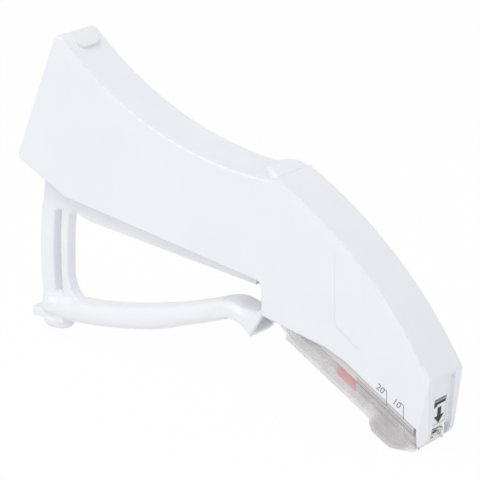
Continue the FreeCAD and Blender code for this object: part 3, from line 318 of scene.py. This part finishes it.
FINISHES = {
    "shell_plastic": shell,
    "lever_plastic": lever_white,
    "grey_plastic": grey,
    "clear_plastic": clear_plastic,
    "red_plastic": red,
    "bright_steel": bright,
    "satin_steel": satin,
    "staple_wire": wire,
}
for part in frame["record"]["subparts"]:
    for entry in nodes[part["node"]].material_slots:
        entry.material = FINISHES[part["material_slot"]]


# Helpers for the pieces made here

def linked(name, data):
    """A new object in the scene."""
    obj = bpy.data.objects.new(name, data)
    scene.collection.objects.link(obj)
    return obj


def place(name, mesh, material):
    """A new piece of one mesh with its finish."""
    mesh.materials.clear()
    mesh.materials.append(material)
    piece = linked(name, mesh)
    return piece


def final_mesh(holder):
    """The mesh that an object ends up as; the object itself is removed."""
    bpy.context.view_layer.update()
    depsgraph = bpy.context.evaluated_depsgraph_get()
    mesh = bpy.data.meshes.new_from_object(holder.evaluated_get(depsgraph))
    bpy.data.objects.remove(holder)
    return mesh


def smooth(mesh):
    """The same mesh with smooth shading."""
    mesh.polygons.foreach_set("use_smooth", [True] * len(mesh.polygons))
    return mesh


def form_of(*meshes):
    """One form for editing that holds all the meshes."""
    form = bmesh.new()
    for mesh in meshes:
        form.from_mesh(mesh)
    return form


def open_mesh(name, form):
    """The form as a mesh, with its faces as they are."""
    mesh = bpy.data.meshes.new(name)
    form.to_mesh(mesh)
    form.free()
    return mesh


def closed_mesh(name, form):
    """A closed form as a mesh, with its faces turned outwards."""
    bmesh.ops.recalc_face_normals(form, faces=form.faces)
    return open_mesh(name, form)


def side_point(spot, y=0.0):
    """A spot of the side view, given as x and z, as a point at depth y."""
    return Vector((spot[0], y, spot[1]))


def slab(form, low, high):
    """Adds a closed block between two outlines in metres with equally many corners."""
    low = [form.verts.new(corner) for corner in low]
    high = [form.verts.new(corner) for corner in high]
    form.faces.new(low)
    form.faces.new(list(reversed(high)))
    for number in range(len(low)):
        after = (number + 1) % len(low)
        form.faces.new((low[number], high[number], high[after], low[after]))


def tube(form, points, radius, sides):
    """Adds round wire along points in metres, closed at both ends."""
    side = (points[1] - points[0]).orthogonal().normalized()
    rings = []
    for index, point in enumerate(points):
        ahead = points[min(index + 1, len(points) - 1)]
        behind = points[max(index - 1, 0)]
        heading = (ahead - behind).normalized()
        side = (side - heading * side.dot(heading)).normalized()
        other = heading.cross(side)
        ring = []
        for number in range(sides):
            turn = 2 * math.pi * number / sides
            out = side * math.cos(turn) + other * math.sin(turn)
            ring.append(form.verts.new(point + out * radius))
        rings.append(ring)
    for here, there in zip(rings, rings[1:]):
        for number in range(sides):
            after = (number + 1) % sides
            form.faces.new((here[number], here[after], there[after], there[number]))
    form.faces.new(list(reversed(rings[0])))
    form.faces.new(rings[-1])


def rounded_path(corners, bend, steps=3):
    """The path along the corners, with each inner corner rounded by bend."""
    path = [corners[0]]
    for before, corner, after in zip(corners, corners[1:], corners[2:]):
        arrive = corner + (before - corner).normalized() * bend
        leave = corner + (after - corner).normalized() * bend
        for step in range(steps + 1):
            share = step / steps
            path.append(arrive.lerp(corner, share).lerp(corner.lerp(leave, share), share))
    path.append(corners[-1])
    return path


# Shell halves with the faint crease softened

CREASE = ((42.3, 53.9), (43.1, 33.0), (52.0, 27.3))
CREASE_REACH = 0.6
CREASE_FLOOR = 8.34
CREASE_SHALLOW = 8.44
DEPTH_PLAY = 0.02
NORMAL_KEPT = 0.25


def from_crease(point):
    """Distance of a point in the side view from the crease's line."""
    here = Vector((point.x, 0, point.z)) / MM
    gaps = []
    for start, end in zip(CREASE, CREASE[1:]):
        first = side_point(start)
        along = side_point(end) - first
        share = min(max((here - first).dot(along) / along.length_squared, 0.0), 1.0)
        gaps.append((here - first - along * share).length)
    return min(gaps)


for name in ("left_cover", "right_housing"):
    mesh = nodes[name].data.copy()
    normals = [corner.vector.copy() for corner in mesh.corner_normals]
    for vertex in mesh.vertices:
        depth = abs(vertex.co.y) / MM
        if abs(depth - CREASE_FLOOR) < DEPTH_PLAY and from_crease(vertex.co) < CREASE_REACH:
            vertex.co.y = math.copysign(CREASE_SHALLOW * MM, vertex.co.y)
    for polygon in mesh.polygons:
        depth = min(abs(mesh.vertices[index].co.y) for index in polygon.vertices) / MM
        if depth > CREASE_SHALLOW - DEPTH_PLAY and from_crease(polygon.center) < CREASE_REACH:
            out = Vector((0, math.copysign(1.0, polygon.center.y), 0))
            for corner in polygon.loop_indices:
                kept = normals[corner] * NORMAL_KEPT
                normals[corner] = (kept + out * (1 - NORMAL_KEPT)).normalized()
    mesh.normals_split_custom_set(normals)
    half = place(name + "_soft", mesh, shell)
    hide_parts(name)
    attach(half, "housing")


# Staples of round wire: the row in the magazine, and the ready one, whose legs close in use;
# here they are drawn open, as pieces apart from its crown

WIRE = 0.58
WIRE_BEND = 0.6
FEED_PLAY = 0.2
STAPLE_WIDTH = 12.4
STAPLE_HALF = (STAPLE_WIDTH - WIRE) / 2
STAPLE_LEG = 3.7
ROW_COUNT = 34
ROW_PITCH = 0.64
ROW_BACK = 0.03
ROW_SIDES = 8
READY_SIDES = 10
CROWN_HALF = 3.1
LEG_START = 3.35


def crown_z(x):
    """Height of the middle of a crown at x, which hangs a little below the feed line."""
    return feed_z(x) - FEED_PLAY - WIRE / 2


def leg_path(x, side, inner_y):
    """From the crown at inner_y round the shoulder and down one leg."""
    top = crown_z(x)
    corners = [Vector((x, side * inner_y, top)), Vector((x, side * STAPLE_HALF, top)),
               Vector((x, side * STAPLE_HALF, top + WIRE / 2 - STAPLE_LEG))]
    return rounded_path([corner * MM for corner in corners], WIRE_BEND * MM)


def wire_piece(name, form, material):
    return place(name, smooth(closed_mesh(name, form)), material)


row_form = bmesh.new()
for number in range(ROW_COUNT):
    x = FEED_X - (number + 1) * ROW_PITCH - ROW_BACK
    left = leg_path(x, -1, 0.0)
    right = leg_path(x, 1, 0.0)
    tube(row_form, list(reversed(left)) + right[1:], WIRE / 2 * MM, ROW_SIDES)
staple_row = wire_piece("staple_row", row_form, wire)
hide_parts("staple_stack")
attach(staple_row, "housing")
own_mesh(staple_row)

legs_form = bmesh.new()
for side in (-1, 1):
    tube(legs_form, leg_path(FEED_X, side, LEG_START), WIRE / 2 * MM, READY_SIDES)
ready_legs = wire_piece("ready_legs", legs_form, wire)
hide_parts("ready_staple")
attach(ready_legs, "housing")
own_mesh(ready_legs)

crown_form = bmesh.new()
crown_line = [Vector((FEED_X, y, crown_z(FEED_X))) * MM for y in (-CROWN_HALF, 0.0, CROWN_HALF)]
tube(crown_form, crown_line, WIRE / 2 * MM, READY_SIDES)
ready_crown = wire_piece("ready_crown", crown_form, wire)
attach(ready_crown, "housing")


# Coil of round wire behind the follower

COIL_REAR_X = 26.2
COIL_FRONT_X = 42.7
COIL_RISE = -1.95
COIL_INSET = 0.81
COIL_RADIUS = 0.75
COIL_WIRE = 0.3
COIL_SIDES = 6
COIL_TURNS = 14
COIL_STATIONS = 20


def on_coil(x):
    """The point of the coil's middle line at x."""
    return Vector((x, 0.0, feed_z(x) + COIL_RISE / math.cos(FEED_ANGLE)))


coil_start = on_coil(COIL_REAR_X) + FEED_WAY * COIL_INSET
coil_length = (on_coil(COIL_FRONT_X) - on_coil(COIL_REAR_X)).length - 2 * COIL_INSET
across = Vector((0.0, 1.0, 0.0))
upward = FEED_WAY.cross(across)
coil_points = []
for number in range(COIL_TURNS * COIL_STATIONS + 1):
    turn = 2 * math.pi * number / COIL_STATIONS
    along = coil_length * number / (COIL_TURNS * COIL_STATIONS)
    out = across * math.cos(turn) + upward * math.sin(turn)
    coil_points.append((coil_start + FEED_WAY * along + out * COIL_RADIUS) * MM)
coil_form = bmesh.new()
tube(coil_form, coil_points, COIL_WIRE / 2 * MM, COIL_SIDES)
feed_coil = wire_piece("feed_coil", coil_form, bright)
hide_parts("follower_spring")
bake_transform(feed_coil)


# Ribs along the magazine's sides, dark with painted shade that stands in for the staple legs
# and track edges seen through the clear plastic

RIB_OFFSETS = (1.15, 0.5, -0.15)
RIB_REAR_X = 50.3
RIB_FRONT_X = 70.4
RIB_HALF = 0.09
RIB_PROUD = 0.08

rib_form = bmesh.new()
side_low, side_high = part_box("magazine_cover")
for side, face_y in ((-1, side_low.y / MM), (1, side_high.y / MM)):
    proud = Vector((0, side * RIB_PROUD * MM, 0))
    for offset in RIB_OFFSETS:
        corners = []
        for x, up in ((RIB_REAR_X, -RIB_HALF), (RIB_FRONT_X, -RIB_HALF),
                      (RIB_FRONT_X, RIB_HALF), (RIB_REAR_X, RIB_HALF)):
            corners.append(Vector((x, face_y, feed_z(x) + offset + up)) * MM)
        slab(rib_form, corners, [corner + proud for corner in corners])
# Thin raised ribs whose dark colour is painted shade
shade_ribs = place("magazine_shade_ribs", closed_mesh("magazine_shade_ribs", rib_form), rib_painted_shade)
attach(shade_ribs, "housing")


# Lever moulding: the flexing post and the finger bar are cut from one melted form, and the
# rail in the shell is a piece of its own

# The form, where it is split, and the post that bends between the leaves' two ends
SPLIT_X = -54.0
LEAF_HALF = 2.1
LEAF_OVERLAP = 0.6
RAIL_FORM_X = -60.5
HEAD_LINE = ((-71.6, 42.0), (-60.7, 42.0), (-58.3, 44.4), (-55.0, 44.3), (-55.0, 49.2),
             (-58.0, 49.8), (-70.0, 55.4))
WELD = 0.0005
VOXEL = 0.36
SOFTEN_PASSES = 5
SOFTEN_SHARE = 0.5
BAR_REACH = 30.0

# The rail, and the plane above which the anchor's bosses are kept
RAIL_LINE = ((-54.8, 43.7), (-52.6, 43.0), (-49.5, 42.4), (-40.4, 41.6), (-22.4, 40.0),
             (-4.4, 38.4), (12.6, 36.9), (12.6, 41.2), (-54.8, 49.6))
RAIL_HALF = 5.0
RAIL_EDGE = 0.3
RAIL_EDGE_STEPS = 3
BOSS_PLANE = Vector((-54.0, 0.0, 48.7))
BOSS_UP = Vector((0.1246, 0.0, 1.0))
BOSS_CREASE = math.radians(30)

# The bowed groove between the leaves, the heights where it starts and is full, and the
# half thickness that it leaves
FLUTE_X = -64.6
FLUTE_HALF = 2.0
FLUTE_DEPTH = 0.9
FLUTE_BOW = 0.8
FLUTE_MIDDLE = 29.25
FLUTE_REACH = 13.75
FLUTE_FOOT = (10.0, 15.0)
FLUTE_HEAD = (45.4, 42.4)
CORE_HALF = 0.8

# The arc of the finger bar's middle line, and the spans over which the bar gets lower
BAR_CENTRE = (-72.28, 195.96)
BAR_ARC = 184.8
BAR_RADIUS = 3.1
DROP_REAR = (-66.0, -59.0)
DROP_FRONT = (-10.0, -28.0)
DROP_TOP = (20.0, 15.0)
DROP_UPPER = 0.45
DROP_EXTRA = 0.5


def prism(name, outline, half):
    """A closed block from an outline in the side view, half wide to each side."""
    form = bmesh.new()
    sides = [[side_point(spot, y) * MM for spot in outline] for y in (-half, half)]
    slab(form, *sides)
    return closed_mesh(name, form)


def cut(form, spot, normal):
    """Cuts a form at a plane and removes what lies behind it."""
    everything = list(form.verts) + list(form.edges) + list(form.faces)
    bmesh.ops.bisect_plane(form, geom=everything, plane_co=spot, plane_no=normal,
                           clear_inner=True)


def closed_part(name, mesh, spot, normal):
    """The part of a closed mesh in front of a plane, closed again."""
    form = form_of(mesh)
    bmesh.ops.remove_doubles(form, verts=form.verts, dist=WELD * MM)
    cut(form, spot, normal)
    rim = [edge for edge in form.edges if len(edge.link_faces) == 1]
    bmesh.ops.holes_fill(form, edges=rim, sides=0)
    return closed_mesh(name, form)


def open_part(name, mesh, spot, normal):
    """The part of a mesh in front of a plane, left open at the cut."""
    form = form_of(mesh)
    cut(form, spot, normal)
    return smooth(open_mesh(name, form))


def melted(name, meshes):
    """Overlapping closed meshes as one soft-edged mesh."""
    holder = linked(name, closed_mesh(name, form_of(*meshes)))
    melt = holder.modifiers.new("melt", "REMESH")
    melt.mode = "VOXEL"
    melt.voxel_size = VOXEL * MM
    soften = holder.modifiers.new("soften", "SMOOTH")
    soften.factor = SOFTEN_SHARE
    soften.iterations = SOFTEN_PASSES
    return smooth(final_mesh(holder))


def islands(mesh):
    """The connected parts of a mesh, as lists of vertex numbers."""
    form = form_of(mesh)
    seen = set()
    found = []
    for vertex in form.verts:
        if vertex.index in seen:
            continue
        group = []
        queue = [vertex]
        seen.add(vertex.index)
        while queue:
            here = queue.pop()
            group.append(here.index)
            for edge in here.link_edges:
                other = edge.other_vert(here)
                if other.index not in seen:
                    seen.add(other.index)
                    queue.append(other)
        found.append(group)
    form.free()
    return found


def only(name, mesh, keep):
    """A copy of the mesh with only the vertices that the list keeps."""
    form = form_of(mesh)
    kept = set(keep)
    dropped = [vertex for vertex in form.verts if vertex.index not in kept]
    bmesh.ops.delete(form, geom=dropped, context="VERTS")
    return smooth(open_mesh(name, form))


def ease(value, span):
    """Smooth rise from 0 to 1 while the value goes from the span's start to its end."""
    start, end = span
    share = min(max((value - start) / (end - start), 0.0), 1.0)
    return share * share * (3 - 2 * share)


def flute_depth(x, z):
    """How deep the groove between the leaves runs into the moulding."""
    bow = FLUTE_BOW * max(0.0, 1 - ((z - FLUTE_MIDDLE) / FLUTE_REACH) ** 2)
    offset = (x - FLUTE_X + bow) / FLUTE_HALF
    if abs(offset) >= 1:
        return 0.0
    fade = ease(z, FLUTE_FOOT) * ease(z, FLUTE_HEAD)
    return FLUTE_DEPTH * (1 - offset * offset) ** 2 * fade


def bar_drop(x, z):
    """How much lower the finger bar lies, its underside more than its top."""
    share = ease(x, DROP_REAR) * ease(x, DROP_FRONT) * ease(z, DROP_TOP)
    centre = BAR_CENTRE[1] - math.sqrt(BAR_ARC ** 2 - (x - BAR_CENTRE[0]) ** 2)
    underside = ease(z, (centre + BAR_RADIUS, centre - BAR_RADIUS))
    return share * (DROP_UPPER + DROP_EXTRA * underside)


anchor = nodes["lever_anchor"].data
melting = [closed_part("rail_form", anchor, Vector((RAIL_FORM_X, 0, 0)) * MM, FORWARD),
           prism("leaf_head", HEAD_LINE, LEAF_HALF), nodes["lever_bar"].data]
for name in ("outer_leaf", "inner_leaf"):
    low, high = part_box(name)
    middle = (low.z + high.z) / 2
    grow = 1 + LEAF_OVERLAP * MM / (high.z - middle)
    leaf = nodes[name].data.copy()
    for vertex in leaf.vertices:
        vertex.co.z = middle + (vertex.co.z - middle) * grow
    melting.append(leaf)
lever_form = melted("lever_form", melting)
for vertex in lever_form.vertices:
    x, y, z = vertex.co / MM
    if abs(y) > CORE_HALF:
        y -= math.copysign(min(flute_depth(x, z), abs(y) - CORE_HALF), y)
    vertex.co = Vector((x, y, z - bar_drop(x, z))) * MM

split = Vector((SPLIT_X, 0, 0)) * MM
post_mesh = open_part("flex_post", lever_form, split, REARWARD)
front_mesh = open_part("lever_front", lever_form, split, FORWARD)
bar_part = []
for group in islands(front_mesh):
    if min(front_mesh.vertices[index].co.z for index in group) < BAR_REACH * MM:
        bar_part.extend(group)
finger_bar = place("finger_bar", only("finger_bar", front_mesh, bar_part), lever_white)
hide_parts("lever_bar")
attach(finger_bar, "lever")

rail = place("rail", prism("rail", RAIL_LINE, RAIL_HALF), lever_white)
bevel = rail.modifiers.new("soft_edges", "BEVEL")
bevel.width = RAIL_EDGE * MM
bevel.segments = RAIL_EDGE_STEPS
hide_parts("lever_anchor")
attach(rail, "housing")

anchor_front = closed_part("anchor_front", anchor, split, FORWARD)
boss_mesh = smooth(closed_part("rail_bosses", anchor_front, BOSS_PLANE * MM, BOSS_UP))
boss_mesh.set_sharp_from_angle(angle=BOSS_CREASE)
bosses = place("rail_bosses", boss_mesh, lever_white)
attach(bosses, "housing")

flex_post = place("flex_post", post_mesh, lever_white)
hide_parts("outer_leaf", "inner_leaf")
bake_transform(flex_post)


# Printed marks: generic count numbers with their leaders, and a printed arrow in the window;
# the window's dark gap beside it is drawn in the same black ink as painted shade

INK_DEPTH = 0.03
SIDE_Y = -8.5
LEADERS = (((60.5, 17.9), (61.5, 17.5), (61.7, 12.8)),
           ((66.5, 15.2), (67.4, 14.5), (67.5, 10.6)))
LEADER_WIDTH = 0.22
COUNTS = (("20", 59.4, 17.6), ("10", 65.1, 14.6))
COUNT_SIZE = 2.9
PLATE_X = 74.55
PLATE_TOP = 24.0
PLATE_LEAN = 0.8 / 15.8
ARROW = ((-0.95, 13.3), (-0.95, 10.7), (-2.55, 10.7), (0.0, 8.35), (2.55, 10.7),
         (0.95, 10.7), (0.95, 13.3))
# The L-shaped gap in the window, above and left of the printed mark, shows only the dark
# inside: its outline is drawn in black ink as painted shade
GAP_SHADE_OUTLINE = ((-2.85, 15.15), (-2.85, 13.5), (-1.5, 13.8), (-1.2, 14.2), (2.95, 14.3),
            (2.95, 15.15))


def side_strip(form, start, end):
    """A printed line on the left side between two spots of the side view."""
    along = (side_point(end) - side_point(start)).normalized()
    out = Vector((-along.z, 0, along.x)) * LEADER_WIDTH / 2
    first = side_point(start, SIDE_Y)
    last = side_point(end, SIDE_Y)
    corners = [corner * MM for corner in (first - out, last - out, last + out, first + out)]
    raised = Vector((0, -INK_DEPTH, 0)) * MM
    slab(form, corners, [corner + raised for corner in corners])


def front_mark(form, outline):
    """A printed patch on the indicator plate, which leans, from an outline of y and z."""
    corners = []
    for y, z in outline:
        corners.append(Vector((PLATE_X - (PLATE_TOP - z) * PLATE_LEAN, y, z)) * MM)
    raised = Vector((INK_DEPTH, 0, 0)) * MM
    slab(form, corners, [corner + raised for corner in corners])


leader_form = bmesh.new()
for spots in LEADERS:
    for start, end in zip(spots, spots[1:]):
        side_strip(leader_form, start, end)
leaders = place("leaders", closed_mesh("leaders", leader_form), print_grey)
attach(leaders, "housing")

for text, x, z in COUNTS:
    curve = bpy.data.curves.new("count_" + text, "FONT")
    curve.body = text
    curve.size = COUNT_SIZE * MM
    curve.extrude = INK_DEPTH / 2 * MM
    curve.align_x = "CENTER"
    curve.align_y = "CENTER"
    digits = final_mesh(linked("holder", curve))
    digits.transform(Matrix.Translation(Vector((x, SIDE_Y - INK_DEPTH / 2, z)) * MM)
                     @ Matrix.Rotation(FEED_ANGLE, 4, "Y")
                     @ Matrix.Rotation(math.pi / 2, 4, "X"))
    count_mark = place("count_" + text, digits, print_grey)
    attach(count_mark, "housing")

arrow_and_gap_shade_form = bmesh.new()
front_mark(arrow_and_gap_shade_form, ARROW)
# The gap's outline in black ink is painted shade
front_mark(arrow_and_gap_shade_form, GAP_SHADE_OUTLINE)
arrow_and_gap_shade = place("arrow_and_gap_shade", closed_mesh("arrow_and_gap_shade", arrow_and_gap_shade_form), black_print_and_gap_shade)
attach(arrow_and_gap_shade, "housing")


# Camera at the photograph's angle, found from the object's edges

TARGET = Vector((2.6, 0.0, 47.2)) * MM
CAMERA_PLACE = Vector((496.4, -664.9, 335.6)) * MM
CAMERA_RIGHT = Vector((0.7988, 0.6014, 0.0188)).normalized()
CAMERA_BACK = Vector((0.5631, -0.7582, 0.3289)).normalized()

camera_data = bpy.data.cameras.new("camera")
camera_data.lens = 225.0
camera_data.sensor_width = 36.0
camera_data.clip_start = 0.01
camera_data.clip_end = 100.0
camera = linked("camera", camera_data)
camera_up = CAMERA_BACK.cross(CAMERA_RIGHT).normalized()
camera_axes = Matrix((CAMERA_RIGHT, camera_up, CAMERA_BACK)).transposed()
camera.matrix_world = Matrix.Translation(CAMERA_PLACE) @ camera_axes.to_4x4()
scene.camera = camera


# Floor, backdrop and light, in metres

WHITE = rgba(1.0, 1.0, 1.0)
PAPER_DARK = rgba(0.90, 0.90, 0.90)
PAPER_PALE = rgba(0.92, 0.92, 0.92)
PAPER_GLOW = 0.97
FLOOR_REACH = 6.0
FLOOR_GAP = 0.02 * MM
AMBIENT = 0.72
SOFTBOX_SIZE = 0.5


def floor_material():
    """Pale studio paper: white to the eye and in reflections, with the object's soft shadow."""
    graph = Finish("studio_paper")
    graph.tint(graph.noise(scale=40.0, detail=4.0), PAPER_DARK, PAPER_PALE)
    graph.set(Roughness=0.9)
    seen = graph.any_ray("Is Camera Ray", "Is Glossy Ray", "Is Transmission Ray")
    share = graph.add("ShaderNodeMath", {1: PAPER_GLOW}, operation="MULTIPLY")
    graph.link(seen, "Value", share, 0)
    glow = graph.add("ShaderNodeEmission", {"Color": WHITE, "Strength": 1.0})
    mix = graph.add("ShaderNodeMixShader")
    graph.link(share, "Value", mix, "Fac")
    graph.link(graph.surface, "BSDF", mix, 1)
    graph.link(glow, "Emission", mix, 2)
    graph.link(mix, "Shader", graph.output, "Surface")
    return graph.material


floor_mesh = bpy.data.meshes.new("floor")
floor_corners = [(x * FLOOR_REACH, y * FLOOR_REACH, 0)
                 for x, y in ((-1, -1), (1, -1), (1, 1), (-1, 1))]
floor_mesh.from_pydata(floor_corners, [], [(0, 1, 2, 3)])
floor_mesh.materials.append(floor_material())
floor = linked("floor", floor_mesh)
floor.location.z = cad_low.z - FLOOR_GAP

world = bpy.data.worlds.new("studio")
scene.world = world
sky = Tree(world)
ambient = sky.add("ShaderNodeBackground", {"Color": WHITE, "Strength": AMBIENT})
backdrop = sky.add("ShaderNodeBackground", {"Color": WHITE, "Strength": 1.0})
seen = sky.any_ray("Is Camera Ray", "Is Transmission Ray")
studio = sky.add("ShaderNodeMixShader")
sky.link(seen, "Value", studio, "Fac")
sky.link(ambient, "Background", studio, 1)
sky.link(backdrop, "Background", studio, 2)
sky.link(studio, "Shader", sky.add("ShaderNodeOutputWorld"), "Surface")


def softbox(name, spot, power):
    """A square area light that faces the object."""
    data = bpy.data.lights.new(name, "AREA")
    data.shape = "SQUARE"
    data.size = SOFTBOX_SIZE
    data.energy = power
    lamp = linked(name, data)
    lamp.location = spot
    lamp.rotation_mode = "QUATERNION"
    lamp.rotation_quaternion = (TARGET - Vector(spot)).to_track_quat("-Z", "Y")


softbox("key", (-0.16, -0.55, 0.95), power=3.4)
softbox("fill", (0.7, -0.5, 0.35), power=0.6)

scene.view_settings.view_transform = "Standard"
